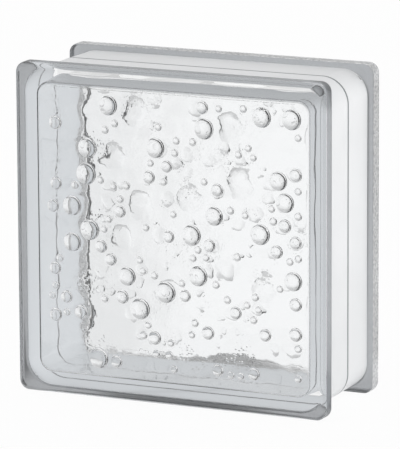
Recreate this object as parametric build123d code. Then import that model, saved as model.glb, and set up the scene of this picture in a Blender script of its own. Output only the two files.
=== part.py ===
from build123d import *
import os
from math import atan, degrees

os.makedirs("parts", exist_ok=True)

# Hollow glass block, 190 x 190 x 80 mm, pressed as two equal half shells that are fused
# mouth to mouth. All sizes in mm. Origin at the middle of the underside, +Z up, front at -Y.

# Overall size
BLOCK = 190.0
DEPTH = 80.0

# Lip round each face, which borders the mortar joint
LIP_WIDTH = 10.5
LIP_CORNER = 6.0
FACE_ROUND = 3.0
LIP_BACK_BEVEL = 0.9

# Mortar channel between the two lips, a little shallower at the seam than at its foot
CHANNEL_DEPTH = 3.3
CHANNEL_DRAFT = 0.4
CHANNEL_CORNER = 15.0
FOOT_ROUND = 2.0
SEAM_BEVEL = 0.5

# Glass thickness, and the hollow inside with its drafted sides
PANE = 8.0
WALL = 7.7
HOLLOW_DRAFT = 1.4
HOLLOW_CORNER = 8.0
HOLLOW_ROUND = 3.5

# Large drops raised on the inner face of the pane. The smaller relief between them is left out.
DROP_DIAMETER = 11.4
DROP_HEIGHT = 2.1
DROP_ROOT = 0.8

# Centres of the drops from the middle of the pane, seen from the front: right, up
DROPS = [
    (-39, 73), (55, 73), (20, 64), (-10, 51), (65, 38), (-53, 33),
    (26, 15), (-62, 14), (54, 7), (-28, -24), (-4, -31), (74, -18),
]

half_depth = DEPTH / 2
channel_side = BLOCK - 2 * CHANNEL_DEPTH
hollow_side = channel_side - 2 * WALL
lip_back = half_depth - LIP_WIDTH
inner_face = half_depth - PANE


def drafted_block(side, corner, height, draft):
    """Rounded square block from the seam up, wider at the seam by the draft on every side."""
    mouth = RectangleRounded(side + 2 * draft, side + 2 * draft, corner + draft)
    return extrude(mouth, height, taper=degrees(atan(draft / height)))


def flat_face(solid, level):
    """The face of a solid that lies level at this height above the seam."""
    return solid.faces().filter_by(Plane.XY).filter_by_position(Axis.Z, level - 1e-4, level + 1e-4)[0]


def outer_form():
    """Channel floor and lip of one half, seam down."""
    floor = drafted_block(channel_side, CHANNEL_CORNER, lip_back, CHANNEL_DRAFT)
    floor = chamfer(flat_face(floor, 0).edges(), SEAM_BEVEL)
    lip = Pos(0, 0, lip_back) * extrude(RectangleRounded(BLOCK, BLOCK, LIP_CORNER), LIP_WIDTH)
    lip = fillet(flat_face(lip, half_depth).edges(), FACE_ROUND)
    form = floor + lip
    form = fillet(flat_face(form, lip_back).inner_wires()[0].edges(), FOOT_ROUND)
    return chamfer(flat_face(form, lip_back).outer_wire().edges(), LIP_BACK_BEVEL)


def hollow():
    """The form of the press's plunger: drafted sides and a soft edge round the pane."""
    form = drafted_block(hollow_side, HOLLOW_CORNER, inner_face, HOLLOW_DRAFT)
    return fillet(flat_face(form, inner_face).edges(), HOLLOW_ROUND)


def drop():
    """Spherical cap pointing down from the inner face, with a short root in the pane."""
    reach = DROP_DIAMETER / 2
    radius = (reach ** 2 + DROP_HEIGHT ** 2) / (2 * DROP_HEIGHT)
    # The ball lies on its side, which keeps its poles and its seam clear of the cap
    ball = Pos(0, 0, radius - DROP_HEIGHT) * Rot(X=90) * Rot(Z=90) * Sphere(radius)
    plug = Pos(0, 0, (DROP_ROOT - DROP_HEIGHT) / 2) * Cylinder(reach, DROP_ROOT + DROP_HEIGHT)
    return ball & plug


def half():
    """One pressed half, seam at level 0 and its face up."""
    room = hollow_side / 2 - HOLLOW_ROUND - DROP_DIAMETER / 2
    relief = drop()
    drops = [Pos(x, y, inner_face) * relief for x, y in DROPS if max(abs(x), abs(y)) < room]
    return outer_form() - hollow() + drops


upright = Pos(0, 0, BLOCK / 2) * Rot(X=90)
front_half = upright * half()
back_half = Rot(Z=180) * front_half

for name, piece in {"front_half": front_half, "back_half": back_half}.items():
    export_step(piece, "parts/" + name + ".step")
    print(name, "valid", piece.is_valid, "faces", len(piece.faces()), "volume", round(piece.volume))
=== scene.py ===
import math
import random

import bmesh
import bpy
from bpy.props import FloatProperty, FloatVectorProperty, IntProperty, PointerProperty
from mathutils import Matrix, Vector


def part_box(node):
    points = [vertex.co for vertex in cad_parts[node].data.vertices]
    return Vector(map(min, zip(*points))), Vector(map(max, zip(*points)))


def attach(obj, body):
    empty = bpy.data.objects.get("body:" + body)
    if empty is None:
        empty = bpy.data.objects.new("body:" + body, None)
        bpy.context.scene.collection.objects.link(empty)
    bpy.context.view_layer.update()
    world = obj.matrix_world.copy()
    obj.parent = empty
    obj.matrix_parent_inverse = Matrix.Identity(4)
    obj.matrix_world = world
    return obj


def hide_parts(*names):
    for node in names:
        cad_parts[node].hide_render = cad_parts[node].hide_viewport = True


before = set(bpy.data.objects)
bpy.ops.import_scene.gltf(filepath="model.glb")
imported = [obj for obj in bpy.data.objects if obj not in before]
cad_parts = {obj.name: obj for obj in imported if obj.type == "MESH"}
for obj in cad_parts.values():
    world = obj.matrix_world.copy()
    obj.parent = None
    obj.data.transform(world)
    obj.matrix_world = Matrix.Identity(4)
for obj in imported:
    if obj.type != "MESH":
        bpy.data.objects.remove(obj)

bl_info = {
    "name": "Pressed Glass Block",
    "version": (1, 0, 0),
    "blender": (4, 5, 0),
    "location": "View3D > Sidebar > Glass Block",
    "description": "Builds a hollow glass block with raised bubbles, and the studio it is shown in",
    "category": "Add Mesh",
}

MM = 0.001

# Points closer together than the first are merged, and points as close in depth as the second lie level
WELD = 0.002 * MM
LEVEL = 0.01 * MM

# Overall size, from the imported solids
half_low, half_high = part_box("front_half")
BLOCK_SIDE = half_high.x - half_low.x
HALF_DEPTH = half_high.y - half_low.y
MIDDLE_HEIGHT = (half_high.z + half_low.z) / 2

# Centres in mm from the middle of the pane, seen from the front: right, up.
# The rear pane's own dished pools and drops, then the front's drops, beads and pips.
REAR_POOLS = [
    (-53, 57), (7, 53), (13, 20), (-50, 4), (-18, 9), (-62, -17), (-67, 30), (62, 50), (62, 12),
    (-30, -48), (28, -40), (62, -52),
]
REAR_DROPS = [
    (-39, 65), (-34, 8), (-21, 35), (-20, 23), (-38, -15), (-19, -13), (-6, -17), (38, -2), (46, 29),
    (34, -17), (48, -10), (33, 22), (-14, 63), (23, 4), (-37, 36), (30, 70), (-74, -38), (-56, -62),
    (-72, 72), (44, 66), (-6, 32), (-71, 2), (8, -56), (-50, -35), (64, -30), (12, -4),
]
DROPS = [
    (-39, 73), (-10, 51), (-53, 33), (-52, 48), (-62, 14), (-51, 1), (-62, -7), (55, 73),
    (73, 73), (20, 64), (65, 38), (69, 26), (26, 15), (54, 7), (12, 3), (-28, -24), (-4, -31),
    (-20, -42), (-46, -73), (16, -20), (74, -18),
]
BEADS = [
    (-3, 41), (-14, 34), (-32, 13), (-72, 26), (-74, 13), (-2, 1), (19, 76), (28, 30),
    (69, 13), (75.5, 4), (64, -2), (23, -2), (75.5, 42), (-44, -8), (-38, -15), (-31, -36),
    (-23, -52), (-57, -47), (-73, -50), (-66, -39), (-73, -23), (-35, -74), (8, -32),
    (75.5, -31), (39, -39), (22, -52), (57, -50), (75.5, -48), (-11, -58), (28, -73), (50, -73),
    (-72, 61),
]
PIPS = [
    (-35, 63), (-41, 59), (-8, 63), (-13, 42), (3, 56), (2, 49), (-5, 32), (-44, 30),
    (-36, 27), (-28, 28), (-32, 20), (-39, 8), (-16, 5), (-42, 2), (1, 14), (-60, 26),
    (29, 76), (44, 77), (66, 73), (77, 63), (13, 56), (47, 55), (41, 51), (50, 50), (77, 33),
    (20, 34), (61, 22), (77, 19), (36, 19), (45, 17), (62, 15), (-20, -14), (-18, -20),
    (-11, -22), (-42, -38), (-15, -51), (-18, -57), (-1, -60), (-10, -67), (-2, -67),
    (1, -75), (-66, -48), (-75, -39), (-73, -33), (-70, -17), (-55, -8), (16, -5), (21, -9),
    (13, -10), (40, -7), (72, -7), (77, -5), (27, -24), (6, -25), (66, -23), (34, -32),
    (51, -29), (46, -34), (53, -36), (50, -42), (14, -47), (12, -54), (69, -50), (77, -56),
    (77, -73), (36, -75), (42, -75),
]

# Jogs in the edge of the rear pane in mm: side, start and end along it, and how far it steps in
JOGS = [
    ("bottom", -2, 24, 3.2), ("bottom", 24, 52, 0.9), ("bottom", -60, -34, 0.8),
    ("left", 62, 76, 2.2), ("left", 22, 40, 1.8), ("left", -12, 6, 1.2), ("left", -72, -58, 2.6),
    ("right", -40, -16, 2.4), ("right", 30, 44, 1.4), ("top", -50, -30, 1.8), ("top", 8, 40, 1.2),
]

# Slow waves in that edge in mm: how far it lies in, then height and run of each wave
STRAY_MIDDLE = 0.45
STRAY_WAVES = [(0.3, 9.0), (0.15, 3.7)]

# How flat each kind of bubble is on top: the rim gets steeper as the power rises
BUBBLE_POWER, POOL_POWER = 2.8, 5.0

# Section of the groove outside the seam and of the bead inside it, as shares of their size:
# how far in from the wall, and how far from the seam
GROOVE_PROFILE = [(1.0, 0.0), (0.45, 0.3)]
BEAD_PROFILE = [(1.0, 0.0), (0.85, 1.0), (0.35, 2.2)]
BEAD_RUN = 3.5

# Ring of the hollow's section at which its rounding starts
HOLLOW_ROUND_RING = 5

# Start of the random draws that vary the bubbles in size
SIZE_SEED = 11

# Places of the finishes in the block's list of materials
# The foot's finish is dark glass, painted shade on the front lip and in the channel's foot; the seam's is
# painted shade of its groove
CLEAR, LIP, SHADED_FOOT, SHADED_SEAM, COAT, HOLLOW, PANE = range(7)

# How squarely the glass of the hollow faces along the depth: less on its sides, more on the panes' flat
SIDE_FACING, FLAT_FACING = 0.2, 0.995


# Sizes and colours that can be changed

def length(name, description, default):
    """A length property, given in mm and kept in metres."""
    return FloatProperty(name=name, description=description, default=default * MM, unit="LENGTH")


class GlassBlockShell(bpy.types.PropertyGroup):
    """Section of the pressed halves."""

    side: FloatProperty(
        name="Side", description="Width and height of the block", default=BLOCK_SIDE, unit="LENGTH"
    )
    half_depth: FloatProperty(
        name="Half depth", description="From the seam to one face", default=HALF_DEPTH, unit="LENGTH"
    )
    lip_width: length("Lip width", "Width of the lip's side round each face", 10.5)
    lip_corner: length("Lip corner", "Corner radius of the lip", 6.0)
    face_round: length("Face rounding", "Radius between the face and the lip's side", 3.0)
    lip_back_bevel: length("Lip back edge", "Radius of the lip's back edge", 0.9)
    channel_depth: length("Channel depth", "Depth of the mortar channel at its foot", 3.3)
    channel_draft: length("Channel draft", "How much shallower the channel is at the seam", 0.4)
    channel_corner: length("Channel corner", "Corner radius of the channel floor", 15.0)
    foot_round: length("Foot rounding", "Radius between the channel floor and the lip", 2.0)
    seam_bevel: length("Seam groove", "Half width of the groove along the fused seam", 0.5)
    pane: length("Pane", "Glass thickness of each face", 8.0)
    wall: length("Wall", "Glass thickness of the sides", 7.7)
    hollow_draft: length("Hollow draft", "How much wider the hollow is at the seam", 1.4)
    hollow_corner: length("Hollow corner", "Corner radius of the hollow at the pane", 8.0)
    hollow_round: length("Hollow rounding", "Radius between the hollow's side and the pane", 2.0)
    seam_bead: length("Seam bead", "Height of the fused bead inside the hollow", 0.2)
    support: length("Support", "Flat run kept beside each rounding", 0.4)
    corner_steps: IntProperty(
        name="Corner steps", description="Straight runs in each rounded corner", default=16
    )


class GlassBlockRelief(bpy.types.PropertyGroup):
    """Bubbles raised on the inner face of each pane."""

    pool_diameter: length("Pool diameter", "Diameter of the dished pools in the rear pane", 17.0)
    pool_depth: length("Pool depth", "Depth of the dished pools in the rear pane", 2.0)
    rear_diameter: length("Rear drop diameter", "Diameter of the rear pane's own drops", 8.6)
    rear_height: length("Rear drop height", "Height of the rear pane's own drops", 1.3)
    drop_diameter: length("Drop diameter", "Diameter of the large drops", 11.4)
    drop_height: length("Drop height", "Height of the large drops", 2.1)
    bead_diameter: length("Bead diameter", "Diameter of the middle-sized beads", 7.4)
    bead_height: length("Bead height", "Height of the middle-sized beads", 1.6)
    pip_diameter: length("Pip diameter", "Diameter of the small pips", 4.4)
    pip_height: length("Pip height", "Height of the small pips", 1.15)
    margin: length("Margin", "Flat glass kept round each bubble", 0.25)
    spread: FloatProperty(
        name="Spread", description="How much like bubbles differ in size", default=0.07, subtype="FACTOR"
    )


class GlassBlockFinish(bpy.types.PropertyGroup):
    """Colours and surface of the glass."""

    glass_colour: FloatVectorProperty(
        name="Glass", description="Tint of the clear glass", default=(0.962, 0.968, 0.972), subtype="COLOR"
    )
    lip_colour: FloatVectorProperty(
        name="Lip", description="Tint of the speckled rear lip", default=(0.85, 0.865, 0.885), subtype="COLOR"
    )
    # Dark glass of the front lip and round the channel's foot: painted shade
    foot_shade_colour: FloatVectorProperty(
        name="Foot", description="Tint of the front lip and of both lips' backs",
        default=(0.29, 0.305, 0.325), subtype="COLOR",
    )
    # Dark glass along the fused seam: painted shade of its groove
    seam_shade_colour: FloatVectorProperty(
        name="Seam", description="Tint of the fused seam", default=(0.26, 0.27, 0.28), subtype="COLOR"
    )
    coat_colour: FloatVectorProperty(
        name="Channel coat", description="Colour of the channel's coat", default=(0.965, 0.975, 0.985),
        subtype="COLOR",
    )
    glow_colour: FloatVectorProperty(
        name="Coat from inside", description="Colour of the coat seen through the glass",
        default=(0.55, 0.57, 0.59), subtype="COLOR",
    )
    bend: FloatProperty(name="Refraction", description="Refractive index of the glass", default=1.52)


class GlassBlockStage(bpy.types.PropertyGroup):
    """Floor, light and camera."""

    floor_colour: FloatVectorProperty(
        name="Floor", description="Colour of the floor", default=(0.96, 0.96, 0.96), subtype="COLOR"
    )
    azimuth: FloatProperty(
        name="Azimuth", description="How far the camera stands to the right of the front",
        default=math.radians(24.8), unit="ROTATION",
    )
    elevation: FloatProperty(
        name="Elevation", description="How far the camera looks down",
        default=math.radians(11.9), unit="ROTATION",
    )
    roll: FloatProperty(
        name="Roll", description="Tilt of the camera about its own axis",
        default=math.radians(-0.3), unit="ROTATION",
    )
    distance: FloatProperty(
        name="Distance", description="From the camera to the block", default=2.5, unit="LENGTH"
    )
    lens: FloatProperty(name="Lens", description="Focal length in mm", default=354.0, unit="CAMERA")


# Modelling steps

def rounded_square(bm, reach, corner, depth, steps):
    """Draws one upright rounded square of edges, at a depth in front of the seam."""
    before = set(bm.faces)
    cell = bmesh.ops.create_grid(bm, x_segments=1, y_segments=1, size=reach)["verts"]
    upright = Matrix.Translation((0, -depth, MIDDLE_HEIGHT)) @ Matrix.Rotation(math.pi / 2, 4, "X")
    bmesh.ops.transform(bm, matrix=upright, verts=cell)
    bmesh.ops.bevel(
        bm, geom=cell, offset=corner, offset_type="OFFSET", affect="VERTICES",
        segments=steps, profile=0.5, material=-1,
    )
    face = next(f for f in bm.faces if f not in before)
    edges = list(face.edges)
    bmesh.ops.delete(bm, geom=[face], context="FACES_ONLY")
    return edges


def loft(bm, section, steps):
    """Joins rounded squares in turn. Returns the edges of the first and the last one.

    They are drawn a step apart, because two level with each other would be joined crosswise,
    and go to their own depths once they are joined.
    """
    step = 10 * MM
    rings = [
        rounded_square(bm, reach, corner, i * step, steps)
        for i, (reach, corner, _) in enumerate(section)
    ]
    for near, far in zip(rings, rings[1:]):
        bmesh.ops.bridge_loops(bm, edges=near + far)
    for i, (_, _, depth) in enumerate(section):
        verts = list({v for e in rings[i] for v in e.verts})
        bmesh.ops.translate(bm, verts=verts, vec=(0, i * step - depth, 0))
    return rings[0], rings[-1]


def arc(middle_reach, middle_depth, radius, start, end, steps):
    """Reach and depth along a rounding in the section."""
    angles = [start + (end - start) * i / steps for i in range(steps + 1)]
    return [(middle_reach + radius * math.cos(a), middle_depth + radius * math.sin(a)) for a in angles]


def outer_section(size):
    """Reach, corner radius and depth of the outside, from the seam to the face."""
    lip = size.side / 2
    lip_centre = lip - size.lip_corner
    lip_back = size.half_depth - size.lip_width
    floor = lip - size.channel_depth
    floor_centre = floor - size.channel_corner
    draft = size.channel_draft / lip_back
    support = size.support
    groove = size.seam_bevel
    seam = floor + size.channel_draft
    channel = [(seam - groove * inward, groove * along) for inward, along in GROOVE_PROFILE]
    channel += [(seam - run * draft, run) for run in (groove, groove + support)]
    foot_start = lip_back - size.foot_round
    channel.append((floor + draft * (size.foot_round + support), foot_start - support))
    channel += arc(
        floor + draft * size.foot_round + size.foot_round, foot_start, size.foot_round,
        math.pi, math.pi / 2, steps=8,
    )
    rings = [(reach, reach - floor_centre, depth) for reach, depth in channel]
    back = size.lip_back_bevel
    lip_points = arc(lip - back, lip_back + back, back, -math.pi / 2, 0, steps=5)
    lip_points.append((lip, lip_back + back + support))
    lip_points.append((lip, size.half_depth - size.face_round - support))
    lip_points += arc(
        lip - size.face_round, size.half_depth - size.face_round, size.face_round,
        0, math.pi / 2, steps=10,
    )
    lip_points.append((lip - size.face_round - support, size.half_depth))
    rings += [(reach, reach - lip_centre, depth) for reach, depth in lip_points]
    return rings


def hollow_section(size):
    """Reach, corner radius and depth of the hollow, from the seam to the pane."""
    floor = size.side / 2 - size.channel_depth
    pane_reach = floor - size.wall
    centre = pane_reach - size.hollow_corner
    inner_face = size.half_depth - size.pane
    slope = size.hollow_draft / inner_face
    seam = pane_reach + size.hollow_draft
    bead = size.seam_bead
    bead_end = bead * BEAD_RUN
    flat = 0.5 * MM
    round_depth = inner_face - size.hollow_round
    lean = math.atan(slope)
    round_reach = seam - slope * round_depth - size.hollow_round / math.cos(lean)
    points = [(seam - bead * inward, bead * along) for inward, along in BEAD_PROFILE]
    points += [(seam - slope * run, run) for run in (bead_end, bead_end + flat, round_depth - flat)]
    points += arc(round_reach, round_depth, size.hollow_round, lean, math.pi / 2, steps=8)
    points.append((round_reach - flat, inner_face))
    return [(reach, reach - centre, depth) for reach, depth in points]


def bubble_pattern(reach, height, margin, power, around, rings):
    """Mesh of one low bubble, raised or sunk: flat on top, steep at its rim, with a soft foot.

    Its rings lie closer together towards the rim, and the last of them stops just short of it.
    """
    rim, crowding = 0.985, 1.7
    foot_reach, foot_height = margin * 0.3, height * 0.006
    shares = [rim * (1 - (1 - i / rings) ** crowding) for i in range(rings + 1)]
    profile = [(reach * share, height * (1 - share ** power)) for share in shares]
    profile += [(reach + foot_reach, foot_height), (reach + margin, 0.0)]
    bm = bmesh.new()
    verts = [bm.verts.new((across, up, 0.0)) for across, up in profile]
    edges = [bm.edges.new(pair) for pair in zip(verts, verts[1:])]
    bmesh.ops.spin(
        bm, geom=verts + edges, cent=(0, 0, 0), axis=(0, 1, 0),
        angle=math.tau, steps=around, use_merge=True,
    )
    bmesh.ops.remove_doubles(bm, verts=bm.verts, dist=WELD)
    pattern = bpy.data.meshes.new("bubble_pattern")
    bm.to_mesh(pattern)
    bm.free()
    return pattern


def front_kinds(relief):
    """Centres, reach, height, power, sides and rings of each kind of bubble on the front pane."""
    return [
        (DROPS, relief.drop_diameter / 2, relief.drop_height, BUBBLE_POWER, 40, 10),
        (BEADS, relief.bead_diameter / 2, relief.bead_height, BUBBLE_POWER, 28, 8),
        (PIPS, relief.pip_diameter / 2, relief.pip_height, BUBBLE_POWER, 20, 7),
    ]


def rear_kinds(relief):
    """The rear pane's own pools and drops, and the front's bubbles where they leave room.

    The rear half is pressed facing forward and turned afterwards, so right and left change over.
    """
    pools = [(-right, up) for right, up in REAR_POOLS]
    drops = [(-right, up) for right, up in REAR_DROPS]
    return [
        (pools, relief.pool_diameter / 2, -relief.pool_depth, POOL_POWER, 48, 12),
        (drops, relief.rear_diameter / 2, relief.rear_height, BUBBLE_POWER, 32, 8),
        *front_kinds(relief),
    ]


def stray(side, along):
    """How far the rear pane's edge strays inward at a place along one side: slow waves and jogs.

    The length of the side's name shifts the waves, so that they differ from side to side.
    """
    shift = len(side)
    waves = sum(height * math.sin(along / (run * MM) + shift) for height, run in STRAY_WAVES)
    jogs = sum(
        inward for name, start, end, inward in JOGS if name == side and start < along / MM < end
    )
    return MM * (STRAY_MIDDLE + waves + jogs)


def wander_edge(bm, hollow):
    """Lets the rounding between the hollow's sides and the pane stray inward along its way.

    It fades out towards the corners. The half that this is done to faces forward still, so right
    and left change over.
    """
    corner_fade = 8 * MM
    widest = hollow[0][0]
    start = hollow[HOLLOW_ROUND_RING][2] - LEVEL
    near = [
        v for v in bm.verts
        if start < -v.co.y and max(abs(v.co.x), abs(v.co.z - MIDDLE_HEIGHT)) < widest
    ]
    for v in near:
        right, up = -v.co.x, v.co.z - MIDDLE_HEIGHT
        fade = min(1.0, abs(abs(right) - abs(up)) / corner_fade)
        if abs(right) > abs(up):
            v.co.x += math.copysign(fade * stray("right" if right > 0 else "left", up), right)
        else:
            v.co.z -= math.copysign(fade * stray("top" if up > 0 else "bottom", right), up)


def inside_edge(right, up, outer, room, strays):
    """True when a bubble lies on the flat of the pane, clear of its straight or straying edge."""
    if not strays:
        return max(abs(right), abs(up)) + outer < room
    return all(
        across + outer + stray(side, along + part * outer) < room
        for side, across, along in (
            ("right", right, up), ("left", -right, up), ("top", up, right), ("bottom", -up, right),
        )
        for part in (-1, -0.5, 0, 0.5, 1)
    )


def raise_relief(bm, kinds, relief, face_depth, room, rear):
    """Raises every bubble that fits on the flat of the pane and touches no other. Counts them."""
    chance = random.Random(SIZE_SEED)
    placed = []
    for centres, reach, height, power, around, rings in kinds:
        pattern = bubble_pattern(reach, height, relief.margin, power, around, rings)
        for right, up in centres:
            share = 1 + chance.uniform(-relief.spread, relief.spread)
            outer = (reach + relief.margin) * share
            x, z = right * MM, up * MM
            apart = all(math.hypot(x - p[0], z - p[1]) > outer + p[2] for p in placed)
            if not apart or not inside_edge(-x if rear else x, z, outer, room, rear):
                continue
            placed.append((x, z, outer))
            bubble = pattern.copy()
            bubble.transform(
                Matrix.Translation((x, -face_depth, MIDDLE_HEIGHT + z)) @ Matrix.Scale(share, 4)
            )
            bm.from_mesh(bubble)
            bpy.data.meshes.remove(bubble)
        bpy.data.meshes.remove(pattern)
    return len(placed)


def press_half(bm, size, relief, kinds, rear):
    """One half shell in front of the seam: outside, hollow, and pane with its bubbles."""
    _, face_edge = loft(bm, outer_section(size), size.corner_steps)
    bmesh.ops.contextual_create(bm, geom=face_edge)
    hollow = hollow_section(size)
    before = set(bm.edges)
    loft(bm, hollow, size.corner_steps)
    flat_reach, _, face_depth = hollow[-1]
    # The long edges get points close enough together to follow the edge's waves and jogs
    straight = [e for e in bm.edges if e not in before and e.calc_length() > size.side / 2]
    bmesh.ops.subdivide_edges(bm, edges=straight, cuts=90, use_grid_fill=True)
    if rear:
        wander_edge(bm, hollow)
    count = raise_relief(bm, kinds, relief, face_depth, flat_reach, rear)
    bmesh.ops.remove_doubles(bm, verts=bm.verts, dist=WELD)
    rim = [
        e for e in bm.edges
        if e.is_boundary and all(abs(v.co.y + face_depth) < LEVEL for v in e.verts)
    ]
    bmesh.ops.triangle_fill(bm, edges=rim, use_beauty=False, normal=(0, 1, 0))
    return count


def in_hollow(face, size):
    """True for a face of the hollow, which the outside encloses."""
    middle = face.calc_center_median()
    across = max(abs(middle.x), abs(middle.z - MIDDLE_HEIGHT))
    limit = size.side / 2 - size.channel_depth - size.wall / 2
    return across < limit and abs(middle.y) < size.half_depth - size.pane / 2


def finish_of(face, size):
    """Place in the block's list of materials for the glass of one face."""
    middle = face.calc_center_median()
    depth = abs(middle.y)
    facing = abs(face.normal.y)
    if in_hollow(face, size):
        if depth < size.half_depth - size.pane - size.hollow_round and facing < SIDE_FACING:
            return HOLLOW
        across = max(abs(middle.x), abs(middle.z - MIDDLE_HEIGHT))
        band = size.hollow_round + 1 * MM
        edge = size.side / 2 - size.channel_depth - size.wall - band
        return CLEAR if across > edge and facing < FLAT_FACING else PANE
    if depth > size.half_depth - size.face_round:
        return CLEAR
    # The seam's groove is dark glass: painted shade
    if depth < size.seam_bevel + size.support:
        return SHADED_SEAM
    # The lip's finish starts half way round its back edge, and the coat ends on the foot's rounding
    lip_back = size.half_depth - size.lip_width
    lip_start = lip_back + 0.5 * size.lip_back_bevel
    coat_end = lip_back - 0.7 * size.foot_round
    if depth > lip_start:
        # Only the rear lip came out of its mould speckled; the front lip is dark glass, painted shade
        return LIP if middle.y > 0 else SHADED_FOOT
    # The lip's back edge and the foot's rounding are dark glass: painted shade in the crease
    return SHADED_FOOT if depth > coat_end else COAT


def press_halves(bm, size, relief):
    """Presses the rear half and turns it about, presses the front one, and fuses both at the seam."""
    rear = press_half(bm, size, relief, rear_kinds(relief), True)
    bmesh.ops.rotate(bm, cent=(0, 0, 0), matrix=Matrix.Rotation(math.pi, 3, "Z"), verts=bm.verts)
    front = press_half(bm, size, relief, front_kinds(relief), False)
    seam = [v for v in bm.verts if abs(v.co.y) < WELD / 2]
    bmesh.ops.remove_doubles(bm, verts=seam, dist=LEVEL)
    bmesh.ops.recalc_face_normals(bm, faces=bm.faces)
    # Both shells now point away from their own middle; the hollow's has to point into its air
    bmesh.ops.reverse_faces(bm, faces=[f for f in bm.faces if in_hollow(f, size)])
    return front, rear


# Node helpers

def new_material(name):
    """An empty node material and its output."""
    material = bpy.data.materials.new(name)
    material.use_nodes = True
    material.node_tree.nodes.clear()
    return material, material.node_tree.nodes.new("ShaderNodeOutputMaterial")


def add_node(tree, kind, inputs=None, **settings):
    """Adds a node and sets its properties. Each input is set to a value or linked to a socket."""
    node = tree.nodes.new(kind)
    for key, value in settings.items():
        setattr(node, key, value)
    for key, value in (inputs or {}).items():
        if isinstance(value, bpy.types.NodeSocket):
            tree.links.new(value, node.inputs[key])
        else:
            node.inputs[key].default_value = value
    return node


def reckon(tree, operation, *values):
    """Result of a Math node on sockets or numbers."""
    return add_node(tree, "ShaderNodeMath", dict(enumerate(values)), operation=operation).outputs[0]


def span(tree, value, start, end, low, high, soft=False):
    """Takes a value from the range start to end over to the range low to high, eased if soft."""
    return add_node(tree, "ShaderNodeMapRange", {
        "Value": value, "From Min": start, "From Max": end, "To Min": low, "To Max": high,
    }, interpolation_type="SMOOTHSTEP" if soft else "LINEAR").outputs["Result"]


def ramp(tree, value, start, end, low, high):
    """Colours a value: low up to the start, high from the end."""
    node = add_node(tree, "ShaderNodeValToRGB", {"Fac": value})
    first, last = node.color_ramp.elements
    first.position, first.color = start, (*low, 1)
    last.position, last.color = end, (*high, 1)
    return node.outputs["Color"]


def object_place(tree):
    """Place on the piece, for the patterns."""
    return add_node(tree, "ShaderNodeTexCoord").outputs["Object"]


def ripple(tree, place, scale, detail, strength, distance, under=None):
    """A bump of soft noise in object space, laid over another bump if one is given."""
    noise = add_node(tree, "ShaderNodeTexNoise", {
        "Vector": place, "Scale": scale, "Detail": detail, "Roughness": 0.5,
    })
    bump = {"Strength": strength, "Distance": distance, "Height": noise.outputs["Fac"]}
    if under is not None:
        bump["Normal"] = under
    return add_node(tree, "ShaderNodeBump", bump).outputs["Normal"]


# Finishes

def polished_glass(finish, name, relief):
    """Smooth clear glass. A relief function gives its normal from its node tree and the place on it."""
    material, output = new_material(name)
    tree = material.node_tree
    glass = add_node(tree, "ShaderNodeBsdfPrincipled", {
        "Base Color": (*finish.glass_colour, 1), "Roughness": 0.0, "IOR": finish.bend,
        "Transmission Weight": 1.0, "Normal": relief(tree, object_place(tree)),
    })
    tree.links.new(glass.outputs["BSDF"], output.inputs["Surface"])
    return material


def mould_ripple(tree, place):
    """The slow ripple that the mould leaves on the outside."""
    return ripple(tree, place, scale=45.0, detail=1.0, strength=0.4, distance=0.0004)


def chilled_face(tree, place):
    """Inner face of a pane, uneven where the plunger chilled it, with patches of seeds."""
    slow = ripple(tree, place, scale=60.0, detail=1.0, strength=0.5, distance=0.0016)
    fine = ripple(tree, place, scale=180.0, detail=1.0, strength=0.35, distance=0.0004, under=slow)
    return seeds(tree, place, fine)


def seeds(tree, place, under):
    """Patches of tiny bumps, like the seeds and scum that gather in pressed glass."""
    cells = add_node(tree, "ShaderNodeTexVoronoi", {"Vector": place, "Scale": 520.0, "Randomness": 1.0})
    cloud = add_node(tree, "ShaderNodeTexNoise", {
        "Vector": place, "Scale": 38.0, "Detail": 2.0, "Roughness": 0.5,
    })
    dots = span(tree, cells.outputs["Distance"], 0.1, 0.45, 1.0, 0.0)
    patch = span(tree, cloud.outputs["Fac"], 0.5, 0.62, 0.0, 1.0)
    return add_node(tree, "ShaderNodeBump", {
        "Strength": 0.5, "Distance": 0.0002, "Height": reckon(tree, "MULTIPLY", dots, patch),
        "Normal": under,
    }).outputs["Normal"]


def plunger_rings(tree, place):
    """Sides of the hollow, with the rings that the plunger leaves round them, and slow waves."""
    drawn = add_node(tree, "ShaderNodeMapping", {"Vector": place, "Scale": (0.2, 1.0, 0.2)})
    rings = ripple(
        tree, drawn.outputs["Vector"], scale=70.0, detail=0.0, strength=0.35, distance=0.0009
    )
    return ripple(tree, place, scale=60.0, detail=0.0, strength=0.35, distance=0.0006, under=rings)


def matt_glass(finish, name, colour, grain, clear):
    """Glass with the matt skin that mortar grips, mottled by its grain and partly clear."""
    material, output = new_material(name)
    tree = material.node_tree
    place = object_place(tree)
    speckle = add_node(tree, "ShaderNodeTexNoise", {
        "Vector": place, "Scale": 620.0, "Detail": 4.0, "Roughness": 0.7,
    })
    dark = [c * (1 - 0.4 * grain) for c in colour]
    light = [min(1.0, c * (1 + 0.2 * grain)) for c in colour]
    slow = ripple(tree, place, scale=120.0, detail=2.0, strength=0.4, distance=0.0003)
    glass = add_node(tree, "ShaderNodeBsdfPrincipled", {
        "Base Color": ramp(tree, speckle.outputs["Fac"], 0.38, 0.6, dark, light),
        "Roughness": 0.3, "IOR": finish.bend, "Transmission Weight": clear,
        "Normal": ripple(
            tree, place, scale=900.0, detail=2.0, strength=grain, distance=0.0003 * grain, under=slow
        ),
    })
    tree.links.new(glass.outputs["BSDF"], output.inputs["Surface"])
    return material


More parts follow.
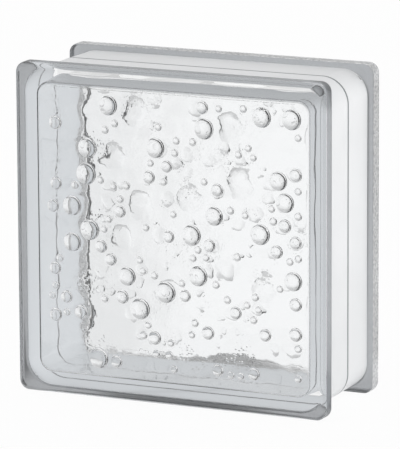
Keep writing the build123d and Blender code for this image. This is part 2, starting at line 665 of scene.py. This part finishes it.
def edge_coat(finish):
    """Thin satin coat in the mortar channel: white from outside, lit through from inside the glass."""
    material, output = new_material("Satin channel coat")
    tree = material.node_tree
    place = object_place(tree)
    cloud = add_node(tree, "ShaderNodeTexNoise", {
        "Vector": place, "Scale": 30.0, "Detail": 3.0, "Roughness": 0.5,
    })
    dull = [c * 0.95 for c in finish.coat_colour]
    skin = add_node(tree, "ShaderNodeBsdfPrincipled", {
        "Base Color": ramp(tree, cloud.outputs["Fac"], 0.3, 0.7, dull, finish.coat_colour),
        "Roughness": 0.4, "IOR": 1.45,
        "Normal": ripple(tree, place, scale=90.0, detail=2.0, strength=0.3, distance=0.0003),
    })
    glow = add_node(tree, "ShaderNodeBsdfTranslucent", {"Color": (*finish.glow_colour, 1)})
    coat = add_node(tree, "ShaderNodeMixShader", {
        "Fac": add_node(tree, "ShaderNodeNewGeometry").outputs["Backfacing"],
        1: skin.outputs["BSDF"], 2: glow.outputs["BSDF"],
    })
    tree.links.new(coat.outputs[0], output.inputs["Surface"])
    return material


# Stage

# How bright the glass sees the studio, by direction: two directions and the level at each
DARK_SIDES = (0.7, 0.8, 1.0, 0.0)
SIDE_FALL = (0.38, 0.55, 1.0, 0.86)
GREY_CEILING = (-0.12, 0.12, 1.0, 0.65)
# The last darkens the floor right under the block where the glass sees it: a painted shadow
SHADOW_UNDER_BLOCK = (-0.92, -0.82, 0.3, 1.0)

# How strongly the studio lights matt surfaces, by direction: two directions and the level at each
SIDE_BOXES = (0.0, 1.0, 0.4, 1.98)
CEILING_LIGHT = (0.0, 1.0, 1.0, 0.5)
LEFT_BOX = (-1.0, 0.0, 1.2, 1.0)

# Share of the floor that shows as backdrop, and its level to rays that a matt surface scattered
FLOOR_SHARE = 0.95
FLOOR_LIGHT = 1.2


def backdrop_rays(tree):
    """1 for rays that look at the background directly, in a reflection or through the glass."""
    path = add_node(tree, "ShaderNodeLightPath")
    first = reckon(tree, "MAXIMUM", path.outputs["Is Camera Ray"], path.outputs["Is Glossy Ray"])
    return reckon(tree, "MAXIMUM", first, path.outputs["Is Transmission Ray"])


def clear_rays(tree):
    """1 for backdrop rays that no matt surface has scattered on their way."""
    path = add_node(tree, "ShaderNodeLightPath")
    matt = reckon(tree, "ADD", path.outputs["Is Diffuse Ray"], path.outputs["Diffuse Depth"])
    return reckon(tree, "MULTIPLY", backdrop_rays(tree), reckon(tree, "LESS_THAN", matt, 0.5))


def seen_level(tree, heading):
    """How bright the glass sees the studio in a direction."""
    parts = add_node(tree, "ShaderNodeSeparateXYZ", {0: heading})
    sideways = reckon(tree, "ABSOLUTE", parts.outputs["X"])
    sides = span(tree, sideways, *DARK_SIDES, soft=True)
    fall = span(tree, sideways, *SIDE_FALL)
    above = span(tree, parts.outputs["Z"], *GREY_CEILING, soft=True)
    # Steeply downward, under the block, the level drops: a painted shadow on the floor
    painted_shadow_below = span(tree, parts.outputs["Z"], *SHADOW_UNDER_BLOCK, soft=True)
    across = reckon(tree, "MULTIPLY", sides, fall)
    upright = reckon(tree, "MULTIPLY", above, painted_shadow_below)
    return reckon(tree, "MULTIPLY", across, upright)


def lay_floor(stage):
    """A wide pale floor that looks white and still keeps the block's shadow; through the glass it shows a
    painted shadow under the block.
    """
    bm = bmesh.new()
    bmesh.ops.create_grid(bm, x_segments=1, y_segments=1, size=6.0)
    mesh = bpy.data.meshes.new("studio_floor")
    bm.to_mesh(mesh)
    bm.free()
    floor = bpy.data.objects.new("studio_floor", mesh)
    bpy.context.scene.collection.objects.link(floor)
    material, output = new_material("Pale studio floor")
    tree = material.node_tree
    matt = add_node(tree, "ShaderNodeBsdfDiffuse", {"Color": (*stage.floor_colour, 1)})
    # The glass sees the floor as bright as the studio beyond it, in the same direction, and dark right under
    # the block: a painted shadow
    reach = add_node(
        tree, "ShaderNodeVectorMath", {0: object_place(tree), 1: (0, 0, MIDDLE_HEIGHT)},
        operation="SUBTRACT",
    )
    heading = add_node(tree, "ShaderNodeVectorMath", {0: reach.outputs[0]}, operation="NORMALIZE")
    camera_ray = add_node(tree, "ShaderNodeLightPath").outputs["Is Camera Ray"]
    shown = add_node(tree, "ShaderNodeMix", {
        "Factor": clear_rays(tree), "A": FLOOR_LIGHT,
        "B": reckon(tree, "MAXIMUM", seen_level(tree, heading.outputs[0]), camera_ray),
    }, data_type="FLOAT")
    white = add_node(tree, "ShaderNodeEmission", {"Strength": shown.outputs["Result"]})
    blend = add_node(tree, "ShaderNodeMixShader", {
        "Fac": reckon(tree, "MULTIPLY", backdrop_rays(tree), FLOOR_SHARE),
        1: matt.outputs[0], 2: white.outputs[0],
    })
    tree.links.new(blend.outputs[0], output.inputs["Surface"])
    mesh.materials.append(material)


def light_room():
    """Soft boxes at both sides and a dimmer ceiling for matt surfaces, and white behind the block."""
    world = bpy.data.worlds.new("Soft studio")
    world.use_nodes = True
    bpy.context.scene.world = world
    tree = world.node_tree
    tree.nodes.clear()
    output = tree.nodes.new("ShaderNodeOutputWorld")
    heading = add_node(tree, "ShaderNodeTexCoord").outputs["Generated"]
    parts = add_node(tree, "ShaderNodeSeparateXYZ", {0: heading})
    boxes = span(tree, reckon(tree, "ABSOLUTE", parts.outputs["X"]), *SIDE_BOXES)
    left = span(tree, parts.outputs["X"], *LEFT_BOX)
    ceiling = span(tree, parts.outputs["Z"], *CEILING_LIGHT)
    seen = add_node(tree, "ShaderNodeMix", {
        "Factor": clear_rays(tree),
        "A": reckon(tree, "MULTIPLY", reckon(tree, "MULTIPLY", boxes, left), ceiling),
        "B": seen_level(tree, heading),
    }, data_type="FLOAT")
    room = add_node(tree, "ShaderNodeBackground", {"Color": seen.outputs["Result"], "Strength": 1.0})
    white = add_node(tree, "ShaderNodeBackground", {"Color": (1, 1, 1, 1), "Strength": 1.0})
    blend = add_node(tree, "ShaderNodeMixShader", {
        "Fac": add_node(tree, "ShaderNodeLightPath").outputs["Is Camera Ray"],
        1: room.outputs[0], 2: white.outputs[0],
    })
    tree.links.new(blend.outputs[0], output.inputs["Surface"])


def place_camera(stage):
    """Sets the camera at the photographed angle, looking at the middle of the block."""
    camera = bpy.data.objects.new("studio_camera", bpy.data.cameras.new("studio_camera"))
    bpy.context.scene.collection.objects.link(camera)
    camera.data.sensor_width = 36.0
    camera.data.lens = stage.lens
    camera.data.clip_end = 100.0
    across, up = math.sin(stage.azimuth), math.sin(stage.elevation)
    level = math.cos(stage.elevation)
    back = Vector((across * level, -math.cos(stage.azimuth) * level, up))
    turn = back.to_track_quat("Z", "Y").to_matrix().to_4x4() @ Matrix.Rotation(stage.roll, 4, "Z")
    # The block's middle lies a little left of and below the middle of the frame
    off_middle = Vector((1.1 * MM, 1.4 * MM, 0))
    aim = Vector((0, 0, MIDDLE_HEIGHT)) + turn.to_3x3() @ off_middle
    camera.matrix_world = Matrix.Translation(aim + back * stage.distance) @ turn
    bpy.context.scene.camera = camera


# Operators

class GLASSBLOCK_OT_press_block(bpy.types.Operator):
    """Build the fused glass block with its bubbles and finishes"""

    bl_idname = "glass_block.press_block"
    bl_label = "Press Block"

    def execute(self, context):
        size = context.scene.glass_block_shell
        relief = context.scene.glass_block_relief
        finish = context.scene.glass_block_finish
        bm = bmesh.new()
        count = press_halves(bm, size, relief)
        if min(count) == 0:
            raise RuntimeError("no bubble fits on one of the panes")
        for face in bm.faces:
            face.smooth = True
            face.material_index = finish_of(face, size)
        open_edges = sum(1 for e in bm.edges if not e.is_manifold)
        if open_edges:
            raise RuntimeError(f"the glass is open along {open_edges} edges")
        mesh = bpy.data.meshes.new("glass_block")
        bm.to_mesh(mesh)
        bm.free()
        # In the order that the places of the finishes give
        for material in (
            polished_glass(finish, "Clear pressed glass", mould_ripple),
            matt_glass(finish, "Speckled lip glass", finish.lip_colour, grain=1.0, clear=0.4),
            # Dark glass of the front lip and the channel's foot: painted shade
            matt_glass(finish, "Foot glass with painted shade", finish.foot_shade_colour, grain=0.15, clear=0.75),
            # Dark glass along the seam: painted shade of its groove
            matt_glass(finish, "Fused seam glass with painted shade", finish.seam_shade_colour, grain=0.15, clear=0.75),
            edge_coat(finish),
            polished_glass(finish, "Ringed hollow glass", plunger_rings),
            polished_glass(finish, "Seedy pane glass", chilled_face),
        ):
            mesh.materials.append(material)
        block = bpy.data.objects.new("glass_block", mesh)
        context.scene.collection.objects.link(block)
        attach(block, "root")
        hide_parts("front_half", "back_half")
        print("bubbles on the front and the rear pane:", *count)
        return {"FINISHED"}


class GLASSBLOCK_OT_set_stage(bpy.types.Operator):
    """Lay the floor, light the studio and place the camera"""

    bl_idname = "glass_block.set_stage"
    bl_label = "Set Stage"

    def execute(self, context):
        stage = context.scene.glass_block_stage
        lay_floor(stage)
        light_room()
        place_camera(stage)
        context.scene.view_settings.view_transform = "Standard"
        return {"FINISHED"}


class GLASSBLOCK_PT_sidebar(bpy.types.Panel):
    """Sizes, finishes and steps of the glass block"""

    bl_idname = "GLASSBLOCK_PT_sidebar"
    bl_label = "Glass Block"
    bl_space_type = "VIEW_3D"
    bl_region_type = "UI"
    bl_category = "Glass Block"

    def draw(self, context):
        for title, name in SETTINGS.items():
            box = self.layout.box()
            box.label(text=title)
            group = getattr(context.scene, name)
            for key in group.bl_rna.properties.keys():
                if key not in ("rna_type", "name"):
                    box.prop(group, key)
        self.layout.operator("glass_block.press_block")
        self.layout.operator("glass_block.set_stage")


SETTINGS = {
    "Shell": "glass_block_shell",
    "Relief": "glass_block_relief",
    "Finish": "glass_block_finish",
    "Stage": "glass_block_stage",
}
CLASSES = (
    GlassBlockShell,
    GlassBlockRelief,
    GlassBlockFinish,
    GlassBlockStage,
    GLASSBLOCK_OT_press_block,
    GLASSBLOCK_OT_set_stage,
    GLASSBLOCK_PT_sidebar,
)


def register():
    """Registers the classes and their settings."""
    for item in CLASSES:
        bpy.utils.register_class(item)
    bpy.types.Scene.glass_block_shell = PointerProperty(type=GlassBlockShell)
    bpy.types.Scene.glass_block_relief = PointerProperty(type=GlassBlockRelief)
    bpy.types.Scene.glass_block_finish = PointerProperty(type=GlassBlockFinish)
    bpy.types.Scene.glass_block_stage = PointerProperty(type=GlassBlockStage)


def unregister():
    """Removes the settings and the classes."""
    for name in SETTINGS.values():
        delattr(bpy.types.Scene, name)
    for item in reversed(CLASSES):
        bpy.utils.unregister_class(item)


def main():
    """Builds the block and its stage."""
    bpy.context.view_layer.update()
    register()
    bpy.ops.glass_block.press_block()
    bpy.ops.glass_block.set_stage()


if __name__ == "__main__":
    main()
